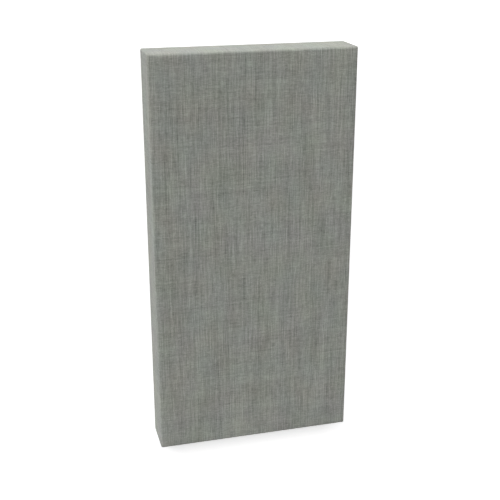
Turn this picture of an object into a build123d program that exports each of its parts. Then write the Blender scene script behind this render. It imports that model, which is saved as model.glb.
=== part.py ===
from build123d import *
import os

# Fabric-covered acoustic wall panel, lying on its back with the covered front up.
# X runs across the panel, +Y points to the end that is uppermost on the wall and
# +Z comes out of the front. The origin is the middle of the back, on the turned-in
# fabric that the panel rests on. Lengths are in millimetres.

# Outside of the finished panel
panel_width = 596.0
panel_length = 1200.0
panel_depth = 120.0
corner_radius = 4.0  # the four corners, seen from the front
front_edge_radius = 7.0  # round the front, where the fabric presses the core's edge softer
back_edge_radius = 3.2

# Upholstery fabric, drawn over the front and sides and turned in behind the board
fabric_thickness = 1.2
hem_width = 45.0
mitre_gap = 1.0  # between two hems where they meet at a corner
mitre_end = 14.0  # from the panel's sides to where that gap closes

# Board that carries the absorber and hangs on the wall
board_thickness = 12.0

# Two keyhole slots routed into the board's back, for round-headed wall screws
keyhole_spacing = 400.0
keyhole_from_end = 100.0  # from the panel's upper end to the middle of each entry
keyhole_drop = 14.0  # how far the panel slides down onto its screws
entry_width = 10.0
neck_width = 5.2
lip_thickness = 4.5  # board left behind the screw's head
head_room = 5.0  # depth of the channel that the head runs in

# Levels and places that follow from the sizes
back_of_board = fabric_thickness
front_of_board = back_of_board + board_thickness
front_of_core = panel_depth - fabric_thickness
keyhole_y = panel_length / 2 - keyhole_from_end
keyhole_depth = lip_thickness + head_room


def outline(inset):
    """The panel's outline seen from the front, drawn in all round by inset."""
    RectangleRounded(
        panel_width - 2 * inset, panel_length - 2 * inset, corner_radius - inset
    )


def round_back(block, inset):
    """Rounds the edges round the back of a block that lies inset deep in the panel."""
    fillet(block.faces().sort_by(Axis.Z)[0].edges(), back_edge_radius - inset)


def round_front(inset):
    """Rounds the front edges of the block in hand, which meet in a mitre at each corner."""
    for plane, span in ((Plane.XZ, panel_width), (Plane.YZ, panel_length)):
        with BuildSketch(plane) as side_view:
            with Locations((0, panel_depth / 2)):
                Rectangle(span - 2 * inset, panel_depth - 2 * inset)
            front_corners = side_view.vertices().group_by(Axis.Y)[-1]
            fillet(front_corners, front_edge_radius - inset)
        extrude(side_view.sketch, amount=panel_length, both=True, mode=Mode.INTERSECT)


# Board and core together are the filling that the fabric is drawn over.
with BuildPart() as filling:
    with BuildSketch(Plane.XY.offset(back_of_board)):
        outline(inset=fabric_thickness)
    extrude(amount=front_of_core - back_of_board)
    round_back(filling, inset=fabric_thickness)
    round_front(inset=fabric_thickness)

# Absorber core: a slab of pressed fibre with rounded front edges, glued to the board
with BuildPart() as absorber_core:
    add(filling.part)
    split(bisect_by=Plane.XY.offset(front_of_board), keep=Keep.TOP)

# Carrier board: fibreboard with its back edges eased where the fabric turns over them
with BuildPart() as carrier_board:
    add(filling.part)
    split(bisect_by=Plane.XY.offset(front_of_board), keep=Keep.BOTTOM)

    # A screw's head goes in at the round entry, and its shank runs up the neck.
    with BuildSketch(Plane.XY.offset(back_of_board)):
        with Locations((0, keyhole_y)):
            with GridLocations(keyhole_spacing, 1, 2, 1):
                Circle(entry_width / 2)
                SlotCenterPoint((0, keyhole_drop / 2), (0, 0), neck_width)
    extrude(amount=keyhole_depth, mode=Mode.SUBTRACT)

    # Behind the lip a channel as wide as the entry lets the head slide along.
    with BuildSketch(Plane.XY.offset(back_of_board + lip_thickness)):
        with Locations((0, keyhole_y)):
            with GridLocations(keyhole_spacing, 1, 2, 1):
                SlotCenterPoint((0, keyhole_drop / 2), (0, 0), entry_width)
    extrude(amount=head_room, mode=Mode.SUBTRACT)

# Fabric cover: one cut of cloth round the filling, open behind inside its four hems
with BuildPart() as fabric_cover:
    with BuildSketch():
        outline(inset=0)
    extrude(amount=panel_depth)
    round_back(fabric_cover, inset=0)
    round_front(inset=0)
    add(filling.part, mode=Mode.SUBTRACT)

    # The hems end in a straight edge, and meet in a mitre that is open at their inner ends.
    with BuildSketch():
        Rectangle(panel_width - 2 * hem_width, panel_length - 2 * hem_width)
        with Locations((panel_width / 2 - mitre_end, panel_length / 2 - mitre_end)):
            Rectangle(
                hem_width * 2**0.5,
                mitre_gap,
                rotation=45,
                align=(Align.MAX, Align.CENTER),
            )
        mirror(about=Plane.YZ)
        mirror(about=Plane.XZ)
    extrude(amount=fabric_thickness, mode=Mode.SUBTRACT)

fabric_cover.part.label = "fabric_cover"
absorber_core.part.label = "absorber_core"
carrier_board.part.label = "carrier_board"

os.makedirs("parts", exist_ok=True)
export_step(fabric_cover.part, "parts/fabric_cover.step")
export_step(absorber_core.part, "parts/absorber_core.step")
export_step(carrier_board.part, "parts/carrier_board.step")
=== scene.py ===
from math import atan2, copysign, hypot, pi, radians, tan
from random import Random

import bmesh
import bpy
from mathutils import Matrix, Vector


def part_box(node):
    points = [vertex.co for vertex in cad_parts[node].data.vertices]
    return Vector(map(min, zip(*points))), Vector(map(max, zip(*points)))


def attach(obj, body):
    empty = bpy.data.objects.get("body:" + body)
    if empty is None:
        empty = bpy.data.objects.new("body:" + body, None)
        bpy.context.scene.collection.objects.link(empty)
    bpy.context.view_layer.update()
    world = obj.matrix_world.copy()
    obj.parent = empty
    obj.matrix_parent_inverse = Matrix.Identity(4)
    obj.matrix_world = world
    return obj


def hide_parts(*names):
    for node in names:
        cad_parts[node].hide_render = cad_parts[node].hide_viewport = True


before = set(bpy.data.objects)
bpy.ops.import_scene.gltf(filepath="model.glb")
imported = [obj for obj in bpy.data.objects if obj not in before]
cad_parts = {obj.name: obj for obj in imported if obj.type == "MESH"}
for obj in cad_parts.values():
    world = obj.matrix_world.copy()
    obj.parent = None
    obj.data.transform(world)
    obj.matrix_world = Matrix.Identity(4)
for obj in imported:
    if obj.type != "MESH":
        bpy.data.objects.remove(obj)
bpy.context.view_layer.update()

# The panel's sizes in metres: outside and cloth's thickness from the frame, edges and hems as built
OUT_LOW, OUT_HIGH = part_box("fabric_cover")
BOARD_LOW, BOARD_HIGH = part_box("carrier_board")
HALF_WIDTH = OUT_HIGH.x
HALF_LENGTH = OUT_HIGH.y
DEPTH = OUT_HIGH.z
CLOTH = BOARD_LOW.z - OUT_LOW.z
CORNER_RADIUS = 0.004
FRONT_RADIUS = 0.007
BACK_RADIUS = 0.0032
HEM = 0.045
MITRE_GAP = 0.001
MITRE_END = 0.014
FOLD_WIDTH = 0.0016
FOLD_DEPTH = 0.0004
TOUCHING = 1e-5  # points closer than this are taken to be one


# Bench tools

def let_go():
    """Leaves nothing selected, so that the next operator acts only on what is picked for it."""
    if bpy.context.object and bpy.context.object.mode == "EDIT":
        bpy.ops.object.mode_set(mode="OBJECT")
    bpy.ops.object.select_all(action="DESELECT")


def take(piece):
    """Selects one piece alone and makes it the active one."""
    let_go()
    piece.select_set(True)
    bpy.context.view_layer.objects.active = piece
    return piece


def block(name, low, high):
    """A block between two corners, as the start of a piece."""
    let_go()
    low, high = Vector(low), Vector(high)
    bpy.ops.mesh.primitive_cube_add(size=1, location=(low + high) / 2, scale=high - low)
    piece = bpy.context.object
    piece.name = piece.data.name = name
    bpy.ops.object.transform_apply(location=True, rotation=True, scale=True)
    return piece


def edit(piece):
    take(piece)
    bpy.ops.object.mode_set(mode="EDIT")


def pick(piece, kind, test):
    """In edit mode, selects the corners, edges or faces whose corners' places all pass the test."""
    bpy.ops.mesh.select_mode(type=kind)
    bpy.ops.mesh.select_all(action="DESELECT")
    shape = bmesh.from_edit_mesh(piece.data)
    if kind == "VERT":
        for corner in shape.verts:
            corner.select_set(test(corner.co))
    else:
        for part in shape.edges if kind == "EDGE" else shape.faces:
            part.select_set(all(test(corner.co) for corner in part.verts))
    bmesh.update_edit_mesh(piece.data)


def near(a, b):
    return abs(a - b) < TOUCHING


def cut(place, normal):
    """Cuts what is selected in edit mode along a plane."""
    bpy.ops.mesh.bisect(plane_co=place, plane_no=normal)


def apply_modifier(piece, kind, **settings):
    take(piece)
    modifier = piece.modifiers.new(kind.lower(), kind)
    for key, value in settings.items():
        setattr(modifier, key, value)
    bpy.ops.object.modifier_apply(modifier=modifier.name)


def smooth(piece, degrees):
    take(piece)
    bpy.ops.object.shade_smooth_by_angle(angle=radians(degrees))


# The cover

ROUNDING_STEPS = 6
CLOTH_GRID = 0.02
SIDE_ROWS = 6
SKIN_GAP = 0.0001  # kept free between the cloth and what it is drawn over


def quarter_of_cover():
    """One corner of the cover: a quarter block with round outer edges, open where the others join it."""
    piece = block("cloth_cover", (0, 0, 0), (HALF_WIDTH, HALF_LENGTH, DEPTH))
    edit(piece)
    for axis in (0, 1):
        pick(piece, "FACE", lambda p: near(p[axis], 0))
        bpy.ops.mesh.delete(type="FACE")

    def on_rim(p):
        return near(p.x, HALF_WIDTH) or near(p.y, HALF_LENGTH)

    for radius, lies_there in (
        (CORNER_RADIUS, lambda p: near(p.x, HALF_WIDTH) and near(p.y, HALF_LENGTH)),
        (FRONT_RADIUS, lambda p: near(p.z, DEPTH) and on_rim(p)),
        (BACK_RADIUS, lambda p: near(p.z, 0) and on_rim(p)),
    ):
        pick(piece, "EDGE", lies_there)
        bpy.ops.transform.edge_bevelweight(value=radius / FRONT_RADIUS)
    bpy.ops.object.mode_set(mode="OBJECT")
    apply_modifier(piece, "BEVEL", width=FRONT_RADIUS, segments=ROUNDING_STEPS,
                   limit_method="WEIGHT", use_clamp_overlap=False)
    return piece


def lay_grid(piece, pitch):
    """Cuts the faces into cells, so that the cloth can be eased in and out."""
    for axis, length in ((0, HALF_WIDTH - FRONT_RADIUS), (1, HALF_LENGTH - FRONT_RADIUS)):
        steps = round(length / pitch)
        for i in range(1, steps + 1):
            place, normal = Vector(), Vector()
            place[axis] = length * i / steps
            normal[axis] = 1
            bpy.ops.mesh.select_all(action="SELECT")
            cut(place, normal)
    for i in range(1, SIDE_ROWS):
        bpy.ops.mesh.select_all(action="SELECT")
        cut((0, 0, BACK_RADIUS + (DEPTH - FRONT_RADIUS - BACK_RADIUS) * i / SIDE_ROWS), (0, 0, 1))


def open_the_back(piece):
    """Cuts the window that the hems leave, and opens the mitre between them."""
    inside = Vector((HALF_WIDTH - HEM, HALF_LENGTH - HEM, 0))
    end = Vector((HALF_WIDTH - MITRE_END, HALF_LENGTH - MITRE_END, 0))
    across = Vector((1, -1, 0)).normalized()
    along = Vector((1, 1, 0)).normalized()

    def on_back(p):
        return near(p.z, 0)

    def in_window(p):
        return on_back(p) and p.x < inside.x + TOUCHING and p.y < inside.y + TOUCHING

    def in_mitre(p):
        off_line = abs((p - inside).dot(across))
        return on_back(p) and off_line < MITRE_GAP / 2 + TOUCHING and (p - end).dot(along) < TOUCHING

    for normal in ((1, 0, 0), (0, 1, 0)):
        pick(piece, "FACE", on_back)
        cut(inside, normal)
    pick(piece, "FACE", in_window)
    bpy.ops.mesh.delete(type="FACE")
    for place, normal in (
        (inside + across * MITRE_GAP / 2, across),
        (inside - across * MITRE_GAP / 2, across),
        (inside, across),
        (end, along),
    ):
        pick(piece, "FACE", on_back)
        cut(place, normal)
    pick(piece, "FACE", in_mitre)
    bpy.ops.mesh.delete(type="FACE")


def make_cover():
    piece = quarter_of_cover()
    edit(piece)
    lay_grid(piece, CLOTH_GRID)
    open_the_back(piece)
    bpy.ops.object.mode_set(mode="OBJECT")
    apply_modifier(piece, "MIRROR", use_axis=(True, True, False), merge_threshold=2 * TOUCHING)
    edit(piece)
    bpy.ops.mesh.select_all(action="SELECT")
    bpy.ops.mesh.remove_doubles(threshold=TOUCHING)
    bpy.ops.mesh.normals_make_consistent(inside=False)
    bpy.ops.object.mode_set(mode="OBJECT")
    return piece


def wrapped(inward, down):
    """Length of cloth from where the front's edge begins to turn, to a point that lies inward of the
    panel's side and down from its front: round the front edge, down the side, round the back edge and
    in along the hem."""
    front_turn = FRONT_RADIUS * pi / 2
    side = DEPTH - FRONT_RADIUS - BACK_RADIUS
    up = DEPTH - down
    if down < FRONT_RADIUS and inward < FRONT_RADIUS:
        return FRONT_RADIUS * atan2(FRONT_RADIUS - inward, FRONT_RADIUS - down)
    if down < FRONT_RADIUS:
        return FRONT_RADIUS - inward
    if up > BACK_RADIUS:
        return front_turn + down - FRONT_RADIUS
    if inward < BACK_RADIUS:
        return front_turn + side + BACK_RADIUS * atan2(BACK_RADIUS - up, BACK_RADIUS - inward)
    return front_turn + side + BACK_RADIUS * pi / 2 + inward - BACK_RADIUS


def place_on_cloth(point, on_end):
    """Where a point of the cover lies on the flat cut cloth, in metres from the middle of the front."""
    x, y, down = abs(point.x), abs(point.y), DEPTH - point.z
    corner_x, corner_y = HALF_WIDTH - CORNER_RADIUS, HALF_LENGTH - CORNER_RADIUS
    if on_end:
        across, along = x, HALF_LENGTH - FRONT_RADIUS + wrapped(HALF_LENGTH - y, down)
    elif y > corner_y and x > corner_x and point.z > BACK_RADIUS / 2:
        turn = atan2(y - corner_y, x - corner_x)
        inward = CORNER_RADIUS - hypot(x - corner_x, y - corner_y)
        across = HALF_WIDTH - FRONT_RADIUS + wrapped(inward, down)
        along = corner_y + CORNER_RADIUS * turn
    else:
        across, along = HALF_WIDTH - FRONT_RADIUS + wrapped(HALF_WIDTH - x, down), y
    return copysign(across, point.x), copysign(along, point.y)


def lay_out_cloth(piece):
    """Notes on the cover where each spot lies on the flat cloth, so that its yarns run on over the edges.
    The cloth is parted at the folds beside the panel's corners and at the hems' mitres."""
    plan = piece.data.uv_layers.new(name="cut_cloth")
    for face in piece.data.polygons:
        x, y = abs(face.center.x), abs(face.center.y)
        if face.center.z < BACK_RADIUS / 2:
            on_end = HALF_LENGTH - y < HALF_WIDTH - x
        else:
            on_end = x < HALF_WIDTH - CORNER_RADIUS and y > HALF_LENGTH - CORNER_RADIUS
        for loop in face.loop_indices:
            point = piece.data.vertices[piece.data.loops[loop].vertex_index].co
            plan.data[loop].uv = place_on_cloth(point, on_end)


def press_folds(piece):
    """Presses in the fold beside each corner, where the end's cloth lies over the side's."""
    edit(piece)
    for side in (-1, 1):
        for end in (-1, 1):
            fold = side * (HALF_WIDTH - CORNER_RADIUS - FOLD_WIDTH / 2)
            for offset in (-FOLD_WIDTH / 2, 0):
                pick(piece, "FACE", lambda p: near(p.y, end * HALF_LENGTH))
                cut((fold + side * offset, 0, 0), (1, 0, 0))
            pick(piece, "VERT", lambda p: near(p.y, end * HALF_LENGTH) and near(p.x, fold))
            bpy.ops.transform.translate(value=(0, -end * FOLD_DEPTH, 0))
    bpy.ops.object.mode_set(mode="OBJECT")


cover = make_cover()
apply_modifier(cover, "SOLIDIFY", thickness=CLOTH - SKIN_GAP, offset=-1, use_even_offset=True)
press_folds(cover)
lay_out_cloth(cover)
smooth(cover, 40)

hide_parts("fabric_cover")
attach(cover, "root")


# The staples that hold the hems

STAPLE_CROWN = 0.010
STAPLE_LEG = 0.006
STAPLE_LINE = 0.033  # from the panel's sides
WIRE_WIDTH = 0.0012
WIRE_THICKNESS = 0.0006
CROWN_LEVEL = -0.0002  # the crown's underside, pressed into the cloth
SIDE_STAPLES = 21
SIDE_PITCH = 0.054
END_STAPLES = 10
END_PITCH = 0.052
STAPLE_SLIP = 0.002  # as far as a staple lies from its even place
STAPLE_TWIST = 6  # degrees, as far as it is turned from its line


def make_staple():
    """One staple: its crown lies along X under the cloth, and its legs go up into the board."""
    half, top = STAPLE_CROWN / 2, CROWN_LEVEL + WIRE_THICKNESS
    piece = block("hem_staples", (-half, -WIRE_WIDTH / 2, CROWN_LEVEL), (half, WIRE_WIDTH / 2, top))
    edit(piece)
    for side in (-1, 1):
        bpy.ops.mesh.select_all(action="SELECT")
        cut((side * (half - WIRE_THICKNESS), 0, 0), (1, 0, 0))
    for side in (-1, 1):
        pick(piece, "FACE", lambda p: near(p.z, top) and side * p.x > half - WIRE_THICKNESS - TOUCHING)
        bpy.ops.mesh.extrude_region_move(TRANSFORM_OT_translate={"value": (0, 0, STAPLE_LEG)})
    pick(piece, "EDGE", lambda p: near(p.z, CROWN_LEVEL))
    bpy.ops.mesh.bevel(offset=WIRE_THICKNESS * 0.3, segments=2, affect="EDGES")
    bpy.ops.mesh.select_all(action="SELECT")
    bpy.ops.mesh.normals_make_consistent(inside=False)
    bpy.ops.object.mode_set(mode="OBJECT")
    return piece


def in_a_row(count, pitch):
    """Places at even steps, with zero in their middle."""
    return [(i - (count - 1) / 2) * pitch for i in range(count)]


def drive_staples():
    """Sets a row of staples along each hem, none of them quite in line with the next."""
    first = make_staple()
    hand = Random(7)
    line_x, line_y = HALF_WIDTH - STAPLE_LINE, HALF_LENGTH - STAPLE_LINE
    places = []
    for side in (-1, 1):
        places += [(side * line_x, y, 90) for y in in_a_row(SIDE_STAPLES, SIDE_PITCH)]
        places += [(x, side * line_y, 0) for x in in_a_row(END_STAPLES, END_PITCH)]
    staples = []
    for x, y, turn in places:
        take(first)
        bpy.ops.object.duplicate()
        staple = bpy.context.object
        staple.location.x = x + hand.uniform(-STAPLE_SLIP, STAPLE_SLIP)
        staple.location.y = y + hand.uniform(-STAPLE_SLIP, STAPLE_SLIP)
        staple.rotation_euler.z = radians(turn + hand.uniform(-STAPLE_TWIST, STAPLE_TWIST))
        staples.append(staple)
    bpy.data.objects.remove(first)
    take(staples[0])
    for staple in staples:
        staple.select_set(True)
    bpy.ops.object.join()
    row = bpy.context.object
    row.name = row.data.name = "hem_staples"
    bpy.ops.object.transform_apply(location=True, rotation=True, scale=True)
    smooth(row, 30)
    return row


staples = drive_staples()
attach(staples, "root")


# Finishes

def add(tree, kind, values=None, **settings):
    """Adds a node, sets it, and fills its inputs with numbers, colours or other nodes' outputs."""
    node = tree.nodes.new("ShaderNode" + kind)
    for key, value in settings.items():
        setattr(node, key, value)
    for key, value in (values or {}).items():
        if isinstance(value, bpy.types.NodeSocket):
            tree.links.new(value, node.inputs[key])
        else:
            node.inputs[key].default_value = value
    return node


def new_finish(name):
    finish = bpy.data.materials.new(name)
    finish.use_nodes = True
    return finish, finish.node_tree, finish.node_tree.nodes["Principled BSDF"]


def give(piece, finish):
    piece.data.materials.clear()
    piece.data.materials.append(finish)


def reckon(tree, operation, *values):
    """One step of arithmetic on numbers or outputs."""
    return add(tree, "Math", dict(enumerate(values)), operation=operation).outputs[0]


def less_half(tree, value):
    """A value from 0 to 1 made to swing evenly about zero."""
    return reckon(tree, "SUBTRACT", value, 0.5)


def between(tree, value, low, high, out_low, out_high):
    """Carries a value from one range to another, and holds it there."""
    return add(tree, "MapRange", {"Value": value, "From Min": low, "From Max": high,
                                  "To Min": out_low, "To Max": out_high}).outputs[0]


def mottle(tree, across, along, width, length, seed, detail=0.0, roughness=0.5):
    """A cloudy value from 0 to 1 whose clouds have the width and length given, in metres."""
    place = add(tree, "CombineXYZ", {
        "X": reckon(tree, "MULTIPLY_ADD", across, 1 / width, seed * 11.3),
        "Y": reckon(tree, "MULTIPLY_ADD", along, 1 / length, seed * 5.7)})
    return add(tree, "TexNoise", {"Vector": place.outputs[0], "Scale": 1.0, "Detail": detail,
                                  "Roughness": roughness}, noise_dimensions="2D").outputs[0]


def threads(tree, across, along, pitch, length, seed, detail=0.0):
    """Threads side by side, each with a shade of its own from 0 to 1, which drifts over its length."""
    number = reckon(tree, "FLOOR", reckon(tree, "DIVIDE", across, pitch))
    return mottle(tree, number, along, 1 / 7.31, length, seed, detail=detail, roughness=0.6)


# Yarns: how far apart they lie, how strongly each kind of unevenness shows, and their relief
WARP_PITCH = 0.0013
WEFT_PITCH = 0.0014
LONG_WARP = 0.97
WARP_SLUBS = 0.27
LONG_WEFT = 0.36
WEFT_SLUBS = 0.04
NUBS = 0.2
BANDS = 0.26
CLOUDS = 0.13
YARNS = 1.45
YARN_RISE = 0.65  # how far a yarn rises over and dips under the others, to its own roundness
# painted shade where the yarns dip into the gaps between them, and painted light on their ridges
PAINTED_GAP_SHADE = 0.63
PAINTED_RIDGE_LIGHT = 1.11
BUMP_DEPTH = 0.0003
FIBRE_WIDTH = 0.00015
FIBRE_LENGTH = 0.0015
FIBRE_TWIST = 0.35  # slant of the fibres to their yarn
FIBRE_SHADE = 0.3
FIBRE_RELIEF = 0.35
WANDER = 0.0015  # how far a yarn strays from a straight line
EDGE_INNER = 0.009  # the streaks grow fainter from this far inside the outline
EDGE_OUTER = 0.001  # to this far past it, along the cloth
# painted washout: the share of the streaks kept down the sides and on the ends, where strong grazing light
# and sheen wash them out
SIDE_CONTRAST = 0.85
END_CONTRAST = 0.52
GREEN_GREY = (0.278, 0.305, 0.267, 1)
WARM_GREY = (0.295, 0.289, 0.267, 1)
BLUE_GREY = (0.282, 0.2925, 0.277, 1)
STRAW_GREY = (0.2915, 0.302, 0.2575, 1)


def yarn_height(tree, across, along, pitch, crossing_pitch, rise):
    """How high parallel yarns stand: round across, and rising and falling over and under those that
    cross them."""
    column = reckon(tree, "DIVIDE", across, pitch)
    number = reckon(tree, "FLOOR", column)
    from_middle = less_half(tree, reckon(tree, "FRACT", column))
    crossings = reckon(tree, "MULTIPLY_ADD", along, 1 / crossing_pitch, -0.5)
    crossings = reckon(tree, "SUBTRACT", crossings, number)
    roundness = reckon(tree, "COSINE", reckon(tree, "MULTIPLY", from_middle, pi))
    wave = reckon(tree, "COSINE", reckon(tree, "MULTIPLY", crossings, pi))
    return reckon(tree, "MULTIPLY_ADD", wave, rise, roundness)


def fibres(tree, across, along, seed):
    """Fine fibres that run along a yarn at a slant, as they are twisted into it."""
    slant = reckon(tree, "MULTIPLY_ADD", along, FIBRE_TWIST, across)
    return mottle(tree, slant, along, FIBRE_WIDTH, FIBRE_LENGTH, seed, detail=2.0)


def choose(tree, share, first, second):
    """The first value where the share is 0 and the second where it is 1."""
    mix = add(tree, "Mix", {"Factor": share, "A": first, "B": second}, data_type="FLOAT")
    return mix.outputs["Result"]


def blend_dyes(tree, share, first, second):
    """The first colour where the share is 0 and the second where it is 1."""
    return add(tree, "Mix", {"Factor": share, 6: first, 7: second}, data_type="RGBA").outputs[2]


def make_linen():
    """Plain-woven linen with uneven yarns, in mottled sage grey."""
    finish, tree, surface = new_finish("linen_weave")
    plan = add(tree, "UVMap", uv_map="cut_cloth")
    u, v = add(tree, "SeparateXYZ", {0: plan.outputs[0]}).outputs[:2]

    # Yarns wander a little from a straight line
    u = reckon(tree, "MULTIPLY_ADD", mottle(tree, u, v, width=0.1, length=0.2, seed=8), WANDER, u)
    v = reckon(tree, "MULTIPLY_ADD", mottle(tree, u, v, width=0.2, length=0.1, seed=9), WANDER, v)

    warp = threads(tree, u, v, WARP_PITCH, length=0.035, seed=1, detail=2.0)
    weft = threads(tree, v, u, WEFT_PITCH, length=0.018, seed=2, detail=2.0)
    mottled = 0.0
    for value, strength in (
        (threads(tree, u, v, pitch=1.5 * WARP_PITCH, length=0.18, seed=3, detail=4.0), LONG_WARP),
        (threads(tree, u, v, pitch=3 * WARP_PITCH, length=0.15, seed=4, detail=2.0), WARP_SLUBS),
        (threads(tree, v, u, pitch=4 * WEFT_PITCH, length=0.3, seed=5, detail=3.0), LONG_WEFT),
        (threads(tree, v, u, pitch=2 * WEFT_PITCH, length=0.022, seed=6), WEFT_SLUBS),
        (mottle(tree, u, v, width=0.005, length=0.005, seed=10, detail=1.0), NUBS),
        (mottle(tree, u, v, width=0.03, length=0.4, seed=11, detail=1.0), BANDS),
        (mottle(tree, u, v, width=0.05, length=0.05, seed=12, detail=1.0), CLOUDS),
    ):
        mottled = reckon(tree, "MULTIPLY_ADD", less_half(tree, value), strength, mottled)

    # Plain weave: at every other crossing the warp yarn lies on top, at the rest the weft
    warp_height = yarn_height(tree, u, v, WARP_PITCH, WEFT_PITCH, YARN_RISE)
    weft_height = yarn_height(tree, v, u, WEFT_PITCH, WARP_PITCH, -YARN_RISE)
    warp_up = reckon(tree, "GREATER_THAN", warp_height, weft_height)
    relief = reckon(tree, "MAXIMUM", warp_height, weft_height)
    on_top = choose(tree, warp_up, weft, warp)
    mottled = reckon(tree, "MULTIPLY_ADD", less_half(tree, on_top), YARNS, mottled)

    # Painted washout: the streaks are made fainter down the sides and fainter still on the ends, where strong
    # grazing light and sheen wash them out
    contrast = 1.0
    for way, edge, beyond in ((u, HALF_WIDTH, SIDE_CONTRAST), (v, HALF_LENGTH, END_CONTRAST)):
        from_middle = reckon(tree, "ABSOLUTE", way)
        painted_washout = between(tree, from_middle, edge - EDGE_INNER, edge + EDGE_OUTER, 1.0, beyond)
        contrast = reckon(tree, "MULTIPLY", contrast, painted_washout)

    # Painted shade in the gaps between the yarns and painted light on their ridges, and streaked along the
    # fibres of the yarn on top
    painted_shade_and_fibres = between(tree, relief, 0.2, 1.3, PAINTED_GAP_SHADE, PAINTED_RIDGE_LIGHT)
    strands = choose(tree, warp_up, fibres(tree, v, u, 13), fibres(tree, u, v, 14))
    painted_shade_and_fibres = reckon(tree, "MULTIPLY_ADD", less_half(tree, strands), FIBRE_SHADE, painted_shade_and_fibres)
    shade = reckon(tree, "MULTIPLY", reckon(tree, "MULTIPLY_ADD", mottled, contrast, 1.0), painted_shade_and_fibres)

    # The dye is uneven: some places a little greener, warmer, bluer or more like straw
    dyes = []
    for seed, first, second in ((6, GREEN_GREY, WARM_GREY), (7, BLUE_GREY, STRAW_GREY)):
        patches = mottle(tree, u, v, width=0.07, length=0.1, seed=seed)
        dyes.append(blend_dyes(tree, between(tree, patches, 0.2, 0.8, 0.0, 1.0), first, second))
    tint = blend_dyes(tree, 0.5, *dyes)
    colour = add(tree, "VectorMath", {0: tint, "Scale": shade}, operation="SCALE").outputs[0]
    tree.links.new(colour, surface.inputs["Base Color"])

    height = reckon(tree, "MULTIPLY_ADD", strands, FIBRE_RELIEF, relief)
    bump = add(tree, "Bump", {"Height": height, "Strength": 0.35, "Distance": BUMP_DEPTH})
    tree.links.new(bump.outputs[0], surface.inputs["Normal"])
    tree.links.new(between(tree, strands, 0.2, 0.8, 0.82, 0.98), surface.inputs["Roughness"])
    surface.inputs["Specular IOR Level"].default_value = 0.3
    surface.inputs["Sheen Weight"].default_value = 0.08
    surface.inputs["Sheen Roughness"].default_value = 0.5
    return finish


FIBREBOARD = (0.45, 0.30, 0.17)
PRESSED_FIBRE = (0.62, 0.61, 0.57)
GALVANISED = (0.62, 0.62, 0.60)


def solid_place(tree):
    """The three directions of the panel at the spot that is shaded, in metres."""
    return add(tree, "SeparateXYZ", {0: add(tree, "TexCoord").outputs["Object"]}).outputs


def shade_colour(tree, surface, colour, *shares):
    """Lays a colour on a finish, made lighter and darker by values from 0 to 1, each with its strength."""
    shade = 1.0
    for value, strength in shares:
        shade = reckon(tree, "MULTIPLY_ADD", less_half(tree, value), strength, shade)
    shaded = add(tree, "VectorMath", {0: colour, "Scale": shade}, operation="SCALE").outputs[0]
    tree.links.new(shaded, surface.inputs["Base Color"])


def roughen(tree, surface, height, distance):
    bump = add(tree, "Bump", {"Height": height, "Strength": 0.5, "Distance": distance})
    tree.links.new(bump.outputs[0], surface.inputs["Normal"])


def make_fibreboard():
    """Pressed wood fibre, sanded on its faces and darker where the slots are routed into it."""
    finish, tree, surface = new_finish("fibreboard")
    x, y, z = solid_place(tree)
    flecks = mottle(tree, x, y, width=0.0007, length=0.0011, seed=1, detail=3.0, roughness=0.6)
    grain = mottle(tree, x, y, width=0.003, length=0.0008, seed=2, detail=2.0)
    clouds = mottle(tree, x, y, width=0.05, length=0.07, seed=3, detail=2.0)
    sanded = between(tree, z, BOARD_LOW.z + 0.0002, BOARD_LOW.z + 0.001, 0.5, 0.0)
    shade_colour(tree, surface, FIBREBOARD, (flecks, 0.5), (grain, 0.3), (clouds, 0.25), (sanded, 0.5))
    roughen(tree, surface, reckon(tree, "ADD", flecks, grain), 0.0002)
    tree.links.new(between(tree, flecks, 0.3, 0.7, 0.62, 0.8), surface.inputs["Roughness"])
    return finish


def make_pressed_fibre():
    """Felted fibre: pale, matt and full of short crossing hairs."""
    finish, tree, surface = new_finish("pressed_fibre")
    x, y, z = solid_place(tree)
    across, along = reckon(tree, "ADD", x, z), reckon(tree, "ADD", y, z)
    hairs = [mottle(tree, across, y, width=0.0006, length=0.009, seed=1, detail=2.0),
             mottle(tree, x, along, width=0.009, length=0.0006, seed=2, detail=2.0)]
    tufts = mottle(tree, across, y, width=0.012, length=0.012, seed=3, detail=3.0)
    shade_colour(tree, surface, PRESSED_FIBRE, (hairs[0], 0.25), (hairs[1], 0.25), (tufts, 0.3))
    roughen(tree, surface, reckon(tree, "ADD", hairs[0], hairs[1]), 0.0006)
    tree.links.new(between(tree, tufts, 0.3, 0.7, 0.88, 0.97), surface.inputs["Roughness"])
    surface.inputs["Specular IOR Level"].default_value = 0.2
    return finish


def make_staple_wire():
    """Bright galvanised wire, a little scuffed by the driver."""
    finish, tree, surface = new_finish("staple_wire")
    x, y, z = solid_place(tree)
    scuffs = mottle(tree, x, y, width=0.0008, length=0.0008, seed=1, detail=3.0)
    shade_colour(tree, surface, GALVANISED, (scuffs, 0.3))
    tree.links.new(between(tree, scuffs, 0.3, 0.7, 0.28, 0.5), surface.inputs["Roughness"])
    surface.inputs["Metallic"].default_value = 1
    return finish


give(cover, make_linen())
give(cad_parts["carrier_board"], make_fibreboard())
give(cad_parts["absorber_core"], make_pressed_fibre())
give(staples, make_staple_wire())


# Studio

FLOOR_SIZE = 14
FLOOR_LEVEL = -0.0004
FLOOR_GLOW = 0.57  # lifts the pale floor to white for the eye alone
EYE = Vector((-0.6796, 0.9619, 2.5927))
LOOK = Vector((0.2432, -0.3440, -0.9069))
HALF_VIEW = 15  # degrees
FILM_WIDTH = 36


def shows(tree):
    """1 where a surface is looked at, straight, in a gloss or through glass, and 0 where it only gives
    light."""
    ray = add(tree, "LightPath").outputs
    seen = reckon(tree, "MAXIMUM", ray["Is Camera Ray"], ray["Is Glossy Ray"])
    return reckon(tree, "MAXIMUM", seen, ray["Is Transmission Ray"])


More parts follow.
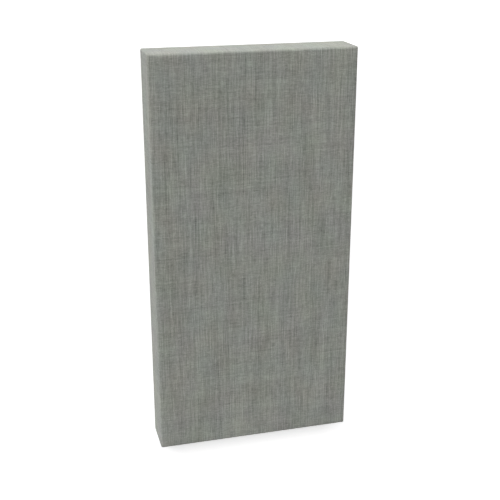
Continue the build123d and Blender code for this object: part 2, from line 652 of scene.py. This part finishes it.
def lay_floor():
    let_go()
    bpy.ops.mesh.primitive_plane_add(size=FLOOR_SIZE, location=(0, 0, FLOOR_LEVEL))
    floor = bpy.context.object
    floor.name = "studio_floor"
    paint, tree, surface = new_finish("pale_floor")
    surface.inputs["Base Color"].default_value = (0.9, 0.9, 0.9, 1)
    surface.inputs["Roughness"].default_value = 0.95
    surface.inputs["Specular IOR Level"].default_value = 0
    glow = add(tree, "Emission", {"Color": (1, 1, 1, 1), "Strength": FLOOR_GLOW})
    dark = add(tree, "Emission", {"Strength": 0.0})
    chosen = add(tree, "MixShader", {0: shows(tree), 1: dark.outputs[0], 2: glow.outputs[0]})
    both = add(tree, "AddShader", {0: surface.outputs[0], 1: chosen.outputs[0]})
    tree.links.new(both.outputs[0], tree.nodes["Material Output"].inputs["Surface"])
    give(floor, paint)


def hang_lamp(name, towards, level, spread):
    """A far, broad lamp in the direction given. At level 1 it renders a colour that faces it as written."""
    lamp = bpy.data.lights.new(name, "SUN")
    lamp.energy = level * pi
    lamp.angle = radians(spread)
    stand = bpy.data.objects.new(name, lamp)
    bpy.context.scene.collection.objects.link(stand)
    stand.rotation_mode = "QUATERNION"
    stand.rotation_quaternion = Vector(towards).to_track_quat("Z", "Y")


def set_world(strength):
    world = bpy.data.worlds.new("studio")
    bpy.context.scene.world = world
    world.use_nodes = True
    tree = world.node_tree
    around = tree.nodes["Background"]
    around.inputs["Color"].default_value = (1, 1, 1, 1)
    around.inputs["Strength"].default_value = strength
    white = add(tree, "Background", {"Color": (1, 1, 1, 1), "Strength": 1.0})
    chosen = add(tree, "MixShader", {0: shows(tree), 1: around.outputs[0], 2: white.outputs[0]})
    tree.links.new(chosen.outputs[0], tree.nodes["World Output"].inputs["Surface"])


def set_camera():
    """The camera looks down at the front from beyond its left side and upper end, which is up in its view."""
    ahead = LOOK.normalized()
    right = ahead.cross(Vector((0, 1, 0))).normalized()
    up = right.cross(ahead)
    data = bpy.data.cameras.new("camera")
    data.sensor_width = FILM_WIDTH
    data.lens = FILM_WIDTH / 2 / tan(radians(HALF_VIEW))
    camera = bpy.data.objects.new("camera", data)
    bpy.context.scene.collection.objects.link(camera)
    camera.matrix_world = Matrix.Translation(EYE) @ Matrix((right, up, -ahead)).transposed().to_4x4()
    bpy.context.scene.camera = camera


lay_floor()
set_world(0.1)
hang_lamp("key_lamp", towards=(-0.505, 0.94, 0.186), level=1.083, spread=30)
hang_lamp("left_top_lamp", towards=(-0.3, 0.81, 1.0), level=0.277, spread=17)
hang_lamp("right_top_lamp", towards=(0.1, 0.81, 1.0), level=0.180, spread=17)
hang_lamp("fill_lamp", towards=(0.191, -0.33, 0.075), level=0.389, spread=50)
set_camera()
bpy.context.scene.view_settings.view_transform = "Standard"
